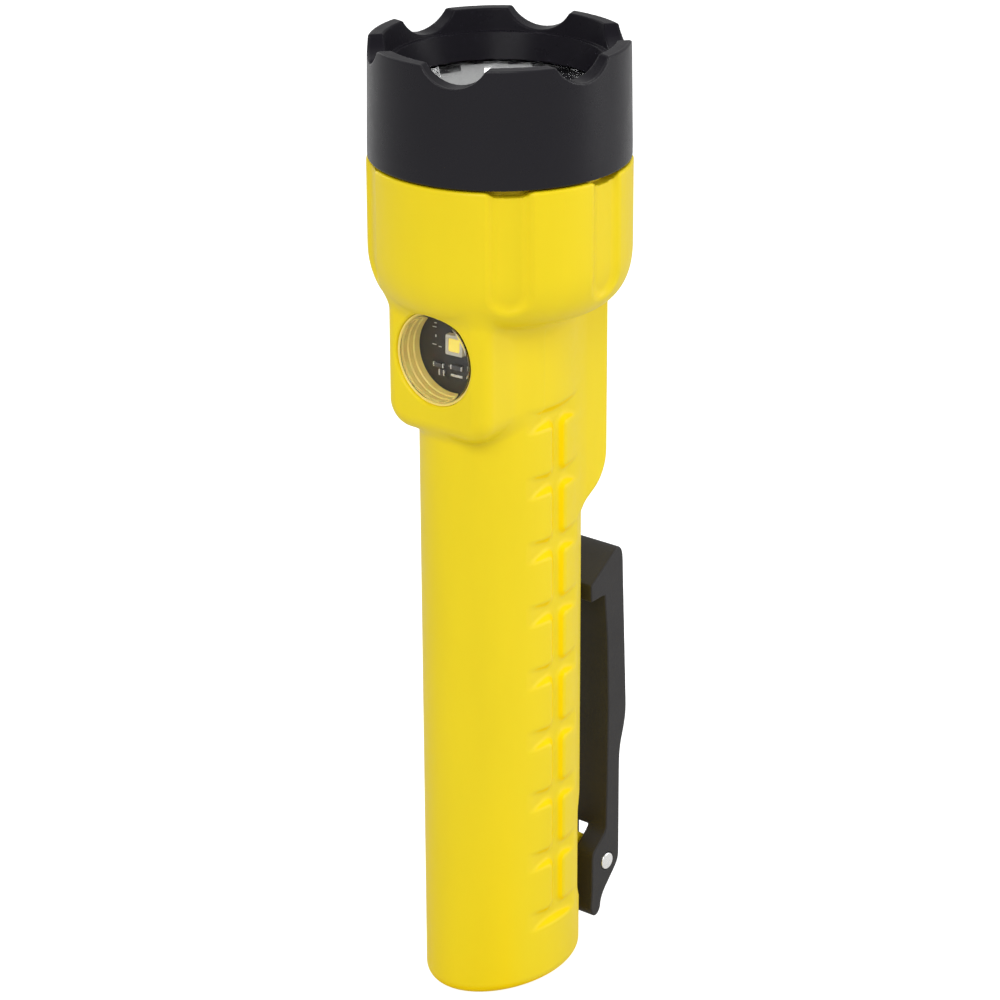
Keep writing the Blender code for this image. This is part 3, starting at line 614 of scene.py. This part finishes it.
def grip(x, y, z):
    """Nine rows across one upright, with leaning walls, down to a flat plane on each side."""
    down = GROOVE_MID_Z - z
    row = np.clip(np.round(down / GROOVE_PITCH), 0, GROOVES - 1)
    rows = rectangle(y - GROOVE_MID_Y, down - row * GROOVE_PITCH, GROOVE_HALF, GROOVE_HALF_Z, 0.5)
    half = GROOVE_PITCH * (GROOVES - 1) / 2
    spine = rectangle(y - SPINE_Y, down - half, SPINE_HALF, half, 0.2)
    depth = HANDLE_X * np.sqrt(np.maximum(1 - (y / HANDLE_Y) ** 2, 0)) - np.abs(x)
    walls = (union(rows, spine, 0.6) + WALL_LEAN * depth) / math.hypot(1, WALL_LEAN)
    floor_x = GROOVE_FLOOR_X - FLOOR_LEAN * (y - GROOVE_MID_Y)
    return meet(walls, floor_x - np.abs(x), 0.35)


def lugs(x, y, z):
    outline = [(14.5, 21), (18.2, 20.6)] + arc((PIN_Y, PIN_Z), LUG_R, 55, -110, 14) + [(14.5, 7.6)]
    side = outline_distance(y, z, outline)
    return meet(side, span(np.abs(x), LUG_IN, LUG_OUT), 0.25)


def collar(x, y, z, r):
    """The screw collar under the bezel, with its thread and the O-ring's groove."""
    turn = np.arctan2(y, x) / (2 * math.pi)
    phase = np.abs(np.mod(z / THREAD_PITCH - turn, 1.0) - 0.5) * 2
    dip = THREAD_DEPTH * np.clip(phase * 1.6 - 0.3, 0, 1)
    dip = np.where((z > THREAD_LOW_Z) & (z < THREAD_TOP_Z), dip, 0.0)
    wall = meet(r - COLLAR_R + dip, z - COLLAR_TOP_Z, 0.4) * 0.8
    groove = np.maximum(span(z, O_RING_SEAT_LOW_Z, O_RING_SEAT_TOP_Z), O_RING_SEAT_R - r)
    return cut(np.maximum(wall, 150 - z), groove, 0.15)


def room(x, y, z, r):
    """The hollow inside, open at the collar."""
    cells = np.maximum(oval(x, y, HANDLE_X - WALL, HANDLE_Y - WALL), span(z, WALL, ROOM_TOP_Z))
    profile = [(-5, 131.5), (0, 131.5), (14, 133), (17, 135), (18.4, 138), (18.4, 170), (-5, 170)]
    return np.minimum(cells, outline_distance(r, z, profile))


def housing(x, y, z):
    """The yellow moulding: handle, head and bosses, less what is cut into them. The relief on each side
    of the lugs leaves room for the clip's foot."""
    r = np.hypot(x, y)
    handle = meet(oval(x, y, HANDLE_X, HANDLE_Y) + DRAFT * np.maximum(DRAFT_TOP_Z - z, 0), -z, BASE_EDGE)
    handle = np.maximum(handle, z - HANDLE_TOP_Z)
    depth = -oval(x, y, HANDLE_X, HANDLE_Y)
    recess_outline = rectangle(x, z - RECESS_Z, RECESS_HALF, RECESS_HALF_Z, RECESS_CORNER)
    recess = meet((recess_outline + depth) / math.sqrt(2), depth - RECESS_DEPTH, 0.25)
    handle = cut(handle, np.maximum(recess, 9 - y), 0.3)
    handle = cut(handle, np.maximum(grip(x, y, z), 8 - np.abs(x)), 0.3)
    round_head = head(z, r)
    body = union(handle, round_head, 4.0)
    body = union(body, flood_boss(x, y, z), 1.4)
    body = union(body, switch_boss(x, y, z), 1.2)
    body = cut(body, flutes(x, y, z, round_head), 0.5)
    body = np.maximum(body, z - SEAM_Z)
    body = np.minimum(body, collar(x, y, z, r))
    body = np.maximum(body, -room(x, y, z, r))
    body = union(body, lugs(x, y, z), 0.5)
    around = np.hypot(x, z - FLOOD_Z)
    body = cut(body, np.maximum(around - FLOOD_R, y + 5), 0.5)
    seat = rectangle(x, z - FRAME_MID_Z, FRAME_HALF + FRAME_GAP, FRAME_HALF_Z + FRAME_GAP, 1.2)
    body = cut(body, np.maximum(seat, FRAME_SEAT_Y - y), 0.3)
    well = rectangle(x, z - SWITCH_WELL_Z, SWITCH_WELL_HALF, SWITCH_WELL_HALF_Z)
    body = np.maximum(body, -np.maximum(well, span(y, 5, 17.5)))
    relief = rectangle(np.abs(x) - RELIEF_X, z - RELIEF_Z, RELIEF_HALF, RELIEF_HALF_Z, 1.0)
    relief = np.maximum(relief, RELIEF_Y - y)
    body = cut(body, relief, 0.3)
    return np.maximum(body, PIN_R + 0.15 - np.hypot(y - PIN_Y, z - PIN_Z))


# ---------------------------------------------------------------- bezel

def bezel(x, y, z):
    """A ring with a leaning mouth, a cone above the lens and a round notch between each two teeth. The
    factors 0.97 and 0.93 turn a radius on a leaning wall into a distance from it."""
    r = np.hypot(x, y)
    wall = r - BEZEL_R + (BEZEL_R - BEZEL_TOP_R) * np.maximum(z - TAPER_LOW_Z, 0) / TAPER_LENGTH
    blank = meet(meet(wall, z - TOTAL_Z, 0.35), SEAM_Z + SEAM_GAP - z, 0.4)
    mouth = np.maximum(0.97 * (r - MOUTH_R - MOUTH_LEAN * (z - MOUTH_LOW_Z)), MOUTH_LOW_Z - z)
    cone = np.maximum(0.93 * (r - CONE_R - CONE_LEAN * (z - CONE_Z)), CONE_LOW_Z - z)
    pocket = np.maximum(r - POCKET_R, z - POCKET_TOP_Z)
    bore = np.maximum(r - BORE_R, z - BORE_TOP_Z)
    hollow = np.minimum(np.minimum(mouth, cone), np.minimum(pocket, bore))
    ring = cut(blank, hollow, 0.22)
    step = math.radians(360 / TEETH)
    turn = np.arctan2(x, -y) - math.radians(FIRST_TOOTH + 180 / TEETH)
    turn = turn - np.round(turn / step) * step
    notch = np.hypot(r * np.sin(turn), z - TOTAL_Z - NOTCH_R + NOTCH_DEPTH) - NOTCH_R
    return cut(ring, notch, 0.25)


# ---------------------------------------------------------------- clip

CLIP_SIDE = [(17.4, 72.0, 0.3), (24.2, 76.9), (25.5, 77.6), (26.6, 76.7), (27.0, 75.2), (27.1, 72.0),
             (28.4, 43.0, 3), (27.7, 39.8), (26.8, 37.0), (26.4, 34.0, 3), (26.4, 13.2), (25.8, 11.8),
             (21.8, 7.4), (21.0, 5.8), (20.8, 4.2), (20.1, 3.3), (19.2, 3.0), (18.3, 3.6),
             (17.8, 4.9), (18.2, 8.5), (18.2, 16.4), (22.4, 19.9), (22.8, 45.7, 3), (22.4, 59.5, 3),
             (21.5, 68.9, 0.3), (17.5, 68.7, 0.3)]
CLIP_FORK = [(10, 20.2), (32, 20.2), (32, 6.4), (19.2, 6.4), (19.2, 1), (10, 1)]
CLIP_OUTLINE = softened(CLIP_SIDE, 1.2)


def clip(x, y, z):
    blank = meet(outline_distance(y, z, CLIP_OUTLINE), np.abs(x) - CLIP_HALF, 0.3)
    fork = np.maximum(outline_distance(y, z, CLIP_FORK), np.abs(x) - EAR_IN)
    body = cut(blank, fork, 0.25)
    return cut(body, np.hypot(y - PIN_Y, z - PIN_Z) - PIN_R - 0.12, 0.15)


def clip_spring():
    """A torsion spring round the pin, with one leg resting in the housing and the other reaching up to the
    clip.
    """
    coil = []
    last = COIL_TURNS * COIL_STEPS
    for i in range(last + 1):
        angle = math.pi - 2 * math.pi * i / COIL_STEPS
        across = -COIL_HALF + 2 * COIL_HALF * i / last
        coil.append((across, PIN_Y + COIL_R * math.cos(angle), PIN_Z + COIL_R * math.sin(angle)))
    low = [(-COIL_HALF, 18.75, 5.2), (-COIL_HALF, 18.8, 7.4), (-COIL_HALF, 19.6, 10.5)]
    high = [(COIL_HALF, 19.3, 16.5), (COIL_HALF, 17.7, 20.0), (COIL_HALF, 17.5, 24.0)]
    spring = wire("spring", low + coil + high, COIL_WIRE_R)
    spring.data.materials.append(MATERIALS["spring_steel"])
    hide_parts("clip_spring")
    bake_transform(spring)


# ---------------------------------------------------------------- switches

def button(height):
    """The shape of a dished cap on a flange, with its middle at that height."""
    def shape(x, y, z):
        outline = rectangle(x, z - height, BUTTON_HALF, BUTTON_HALF_Z, 2.2)
        dish = np.hypot(np.hypot(x, z - height), y - BUTTON_DISH_Y) - BUTTON_DISH_R
        cap = cut(meet(outline, y - BUTTON_TOP_Y, 0.7), dish, 0.5)
        cap = np.maximum(cap, CAP_LOW_Y - y)
        foot = rectangle(x, z - height, FLANGE_HALF, FLANGE_HALF_Z, 0.8)
        flange = np.maximum(foot, span(y, FLANGE_LOW_Y, FLANGE_TOP_Y))
        return np.minimum(cap, flange)
    return shape


def switch_frame(x, y, z):
    outline = rectangle(x, z - FRAME_MID_Z, FRAME_HALF, FRAME_HALF_Z, 1.1)
    plate = meet(outline, span(y, FRAME_LOW_Y, FRAME_TOP_Y), 0.5)
    for height in BUTTONS.values():
        plate = cut(plate, rectangle(x, z - height, 5.2, 3.9, 2.4), 0.25)
    return plate


# ---------------------------------------------------------------- spot light

def reflector_profile():
    """A deep parabola with a flange, as one closed ring."""
    steps = 40
    scale = (BOWL_TOP_Z - BOWL_LOW_Z) / (BOWL_MOUTH_R ** 2 - BOWL_THROAT_R ** 2)
    radii = [BOWL_THROAT_R + (BOWL_MOUTH_R - BOWL_THROAT_R) * i / steps for i in range(steps + 1)]
    inside = [(r, BOWL_LOW_Z + scale * (r ** 2 - BOWL_THROAT_R ** 2)) for r in radii]
    outside = [(r + BOWL_WALL, h) for r, h in inside[::4] if h < BOWL_TOP_Z - BOWL_FLANGE_THICK - 0.1]
    flange = [(BOWL_FLANGE_R, BOWL_TOP_Z), (BOWL_FLANGE_R, BOWL_TOP_Z - BOWL_FLANGE_THICK)]
    points = flange + outside[::-1] + inside
    return points + points[:1]


def spot_chip(x, y, z):
    outline = rectangle(x, y, CHIP_HALF, CHIP_HALF, 0.3)
    return meet(outline, span(z, CHIP_LOW_Z, CHIP_TOP_Z), 0.12)


def spot_light():
    lens = turned("front_lens", bar_profile(LENS_R, LENS_LOW_Z, LENS_TOP_Z, 0.2), 128)
    finish_piece(lens, "clear_plastic", "bezel", "spot_lens")
    gasket = turned("front_gasket", ring_profile(18.42, 18.66, 168.4, 169.4, 0.08), 96)
    finish_piece(gasket, "black_rubber", "bezel", "lens_gasket")
    bowl = turned("reflector_bowl", reflector_profile(), BOWL_FACETS, sharp=9)
    finish_piece(bowl, "bright_reflector", "reflector", "reflector")
    washer = turned("bowl_washer", ring_profile(18.32, 18.6, 166.8, 167.9, 0.08), 96)
    finish_piece(washer, "grey_plastic", "reflector", "reflector_washer")
    low, high = (-CHIP_HALF, -CHIP_HALF, CHIP_LOW_Z), (CHIP_HALF, CHIP_HALF, CHIP_TOP_Z)
    chip = carved("spot_chip", spot_chip, low, high, 0.08, 3000)
    finish_piece(chip, "led_ceramic", "housing", "spot_led")
    die = turned("spot_die", bar_profile(1.5, CHIP_TOP_Z, 150.85, 0.05), 48)
    finish_piece(die, "led_phosphor", "housing")
    dome = turned("spot_dome", [(0, 152.3)] + arc((0, 150.72), 1.58, 84, 0, 10) + [(0, 150.72)], 48)
    finish_piece(dome, "clear_plastic", "housing")


# ---------------------------------------------------------------- flood light

def flood_light():
    seat = (0, 0, FLOOD_Z)
    front = arc((7.45, 17.75), 0.45, 90, 0, 6)
    profile = [(0, 18.2)] + front + arc((7.6, 17.5), 0.3, 0, -90, 4) + [(0, 17.2)]
    finish_piece(turned("flood_window", profile, 96, seat, True), "clear_plastic", "housing", "flood_lens")
    seal = [(8.4, 17.95), (8.4, 13.05), (7.15, 13.05), (7.3, 14.2), (7.5, 14.4), (7.55, 15.5),
            (7.75, 15.7), (7.8, 16.8), (7.95, 17.0), (8.0, 17.7), (8.2, 17.95), (8.4, 17.95)]
    ring = turned("flood_seal", seal, 96, seat, True, 20)
    finish_piece(ring, "clear_silicone", "housing", "flood_lens_seal")
    board = turned("flood_board", bar_profile(BOARD_R, BOARD_BACK, -BOARD_Y, 0.12), 96, seat, True)
    finish_piece(board, "board_black", "housing", "flood_led_board")
    package = on_board("flood_package", LED_X, LED_Z, 1.75, 1.75, 0.9, cut_half=1.2)
    finish_piece(package, "led_ceramic", "housing", "flood_led")
    finish_piece(on_board("flood_die", LED_X, LED_Z, 1.14, 1.14, 0.84, base=0.72), "led_phosphor", "housing")
    chips = {"left_resistor": (-3.1, 121.6, 0.8, 0.42), "low_resistor": (-2.4, 120.4, 0.3, 0.55),
             "right_resistor": (0.6, 121.8, 0.9, 0.4), "low_diode": (3.9, 121.2, 0.6, 1.0)}
    for name, (x, z, half_x, half_z) in chips.items():
        finish_piece(on_board(name, x, z, half_x, half_z, 0.5), "grey_plastic", "housing")
        for side in (-1, 1):
            edge = (half_x + 0.16) * side
            cap = on_board(f"{name}_end_{side + 1}", x + edge, z, 0.14, half_z, 0.42)
            finish_piece(cap, "pin_steel", "housing")
    finish_piece(on_board("long_pad", 0.5, 120.3, 1.2, 0.22, 0.12), "pin_steel", "housing")
    for i, (x, z, half_x, half_z) in enumerate(BOARD_MARKS):
        low, high = (x - half_x, BOARD_Y - 0.05, z - half_z), (x + half_x, BOARD_Y, z + half_z)
        mark = slab(f"board_mark_{i}", low, high)
        finish_piece(mark, "board_white", "housing")


def on_board(name, x, z, half_x, half_z, height, base=0.02, cut_half=0.0):
    """A small block that stands on the flood light's board, with an optional square well in its top."""
    low, high = BOARD_Y - height, BOARD_Y - base
    edge = min(0.12, height / 4)

    def shape(a, b, c):
        outline = rectangle(a - x, c - z, half_x, half_z, min(0.3, half_x, half_z))
        block = meet(outline, span(b, low, high), edge)
        if cut_half:
            well = np.maximum(rectangle(a - x, c - z, cut_half, cut_half, 0.4), b - low - 0.2)
            block = cut(block, well, 0.06)
        return block
    cell = 0.06 if height > 0.3 else 0.03
    return carved(name, shape, (x - half_x, low, z - half_z), (x + half_x, high, z + half_z), cell, 2500)


# ---------------------------------------------------------------- build

FACES = 180000
CELL = 0.35
body = carved("moulded_body", housing, (-24, -24, 0), (24, 26.5, 164), CELL, FACES)
finish_piece(body, "yellow_nylon", "housing", "body_housing")
ring = carved("toothed_bezel", bezel, (-23.2, -23.2, 157.2), (23.2, 23.2, 178), 0.26, 90000)
finish_piece(ring, "black_nylon", "bezel", "bezel")
hook = carved("belt_clip", clip, (-7, 16.4, 2.8), (7, 28.4, 77.9), 0.24, 60000)
finish_piece(hook, "clip_nylon", "clip", "clip")
clip_spring()
ends = bar_profile(PIN_R, -CLIP_HALF - 0.2, CLIP_HALF + 0.2, 0.25)
pin = turned("hinge_pin", ends, 64)
across = Matrix.Rotation(math.radians(90), 4, "Y")
pin.data.transform(Matrix.Translation((0, PIN_Y * MM, PIN_Z * MM)) @ across)
finish_piece(pin, "pin_steel", "housing", "clip_pin")
for node, height in BUTTONS.items():
    low = (-FLANGE_HALF, FLANGE_LOW_Y, height - FLANGE_HALF_Z)
    high = (FLANGE_HALF, 20.5, height + FLANGE_HALF_Z)
    cap = carved(f"{node}_cap", button(height), low, high, 0.16, 14000)
    finish_piece(cap, "button_rubber", node, node)
surround = carved("button_surround", switch_frame, (-FRAME_HALF, FRAME_LOW_Y, FRAME_LOW_Z),
                  (FRAME_HALF, FRAME_TOP_Y, FRAME_TOP_Z), 0.2, 20000)
finish_piece(surround, "black_nylon", "housing", "switch_frame")
section = [(O_RING_R + O_RING_WIRE * math.cos(-t), O_RING_Z + O_RING_WIRE * math.sin(-t))
           for t in np.linspace(0, 2 * math.pi, 17)][:-1]
o_ring = turned("collar_o_ring", section + section[:1], 96)
finish_piece(o_ring, "black_rubber", "housing", "head_o_ring")
spot_light()
flood_light()

for node in frame["nodes"].values():
    slot = next(s["material_slot"] for s in frame["record"]["subparts"] if s["node"] == node.name)
    node.data.materials.clear()
    node.data.materials.append(MATERIALS[slot])


# ---------------------------------------------------------------- floor, light and camera

def floor():
    mesh = bpy.data.meshes.new("floor")
    mesh.from_pydata([(-3, -3, 0), (3, -3, 0), (3, 3, 0), (-3, 3, 0)], [], [(0, 1, 2, 3)])
    made = link(mesh, "floor")
    m = Nodes("floor_paper", (0.55, 0.55, 0.55), 0.9, Specular_IOR_Level=0.1)
    m.tint(m.noise(8, 2), (0.54, 0.54, 0.54), (0.56, 0.56, 0.56))
    m.shader.inputs["Emission Color"].default_value = (1, 1, 1, 1)
    m.link(m.spread(m.add("ShaderNodeLightPath").outputs["Is Camera Ray"], 0.1, 0.85, clip=(0, 1)),
           m.shader.inputs["Emission Strength"])
    mesh.materials.append(m.material)


def softbox(name, turn, height, distance, width, tall, power):
    """An area light round the object, aimed at its middle. Turn is in degrees from -Y towards +X."""
    data = bpy.data.lights.new(name, "AREA")
    data.shape = "RECTANGLE"
    data.size = width
    data.size_y = tall
    data.energy = power
    light = bpy.data.objects.new(name, data)
    bpy.context.scene.collection.objects.link(light)
    turn = math.radians(turn)
    middle = Vector((0, 0, 0.09))
    light.location = Vector((distance * math.sin(turn), -distance * math.cos(turn), height))
    light.rotation_euler = (middle - light.location).to_track_quat("-Z", "Y").to_euler()


def studio():
    world = bpy.data.worlds.new("studio")
    bpy.context.scene.world = world
    world.use_nodes = True
    sky = world.node_tree.nodes["Background"]
    sky.inputs["Color"].default_value = (1, 1, 1, 1)
    seen = world.node_tree.nodes.new("ShaderNodeMapRange")
    seen.inputs["To Min"].default_value = 0.55
    seen.inputs["To Max"].default_value = 1.0
    path = world.node_tree.nodes.new("ShaderNodeLightPath")
    world.node_tree.links.new(path.outputs["Is Camera Ray"], seen.inputs["Value"])
    world.node_tree.links.new(seen.outputs["Result"], sky.inputs["Strength"])
    softbox("front_box", 28, 0.80, 0.85, 0.7, 0.5, 5.5)
    softbox("left_box", -100, 0.40, 0.9, 0.4, 0.8, 1.6)
    softbox("right_box", 130, 0.40, 0.9, 0.4, 0.8, 3.2)
    softbox("top_box", 200, 1.2, 0.5, 0.9, 0.9, 2.6)
    bpy.context.scene.view_settings.view_transform = "Standard"


def camera():
    turn, rise, roll = (math.radians(a) for a in (CAMERA_TURN, CAMERA_RISE, CAMERA_ROLL))
    back = Vector((math.sin(turn) * math.cos(rise), -math.cos(turn) * math.cos(rise), math.sin(rise)))
    right = Vector((math.cos(turn), math.sin(turn), 0))
    up = back.cross(right)
    place = Vector((0, 0, CAMERA_TARGET_Z)) - right * CAMERA_ASIDE + back * CAMERA_DISTANCE
    data = bpy.data.cameras.new("camera")
    data.lens = CAMERA_LENS
    data.sensor_width = 36
    data.clip_start = 0.01
    made = bpy.data.objects.new("camera", data)
    bpy.context.scene.collection.objects.link(made)
    across = right * math.cos(roll) + up * math.sin(roll)
    upward = up * math.cos(roll) - right * math.sin(roll)
    made.matrix_world = Matrix.Translation(place) @ Matrix((across, upward, back)).transposed().to_4x4()
    bpy.context.scene.camera = made


floor()
studio()
camera()
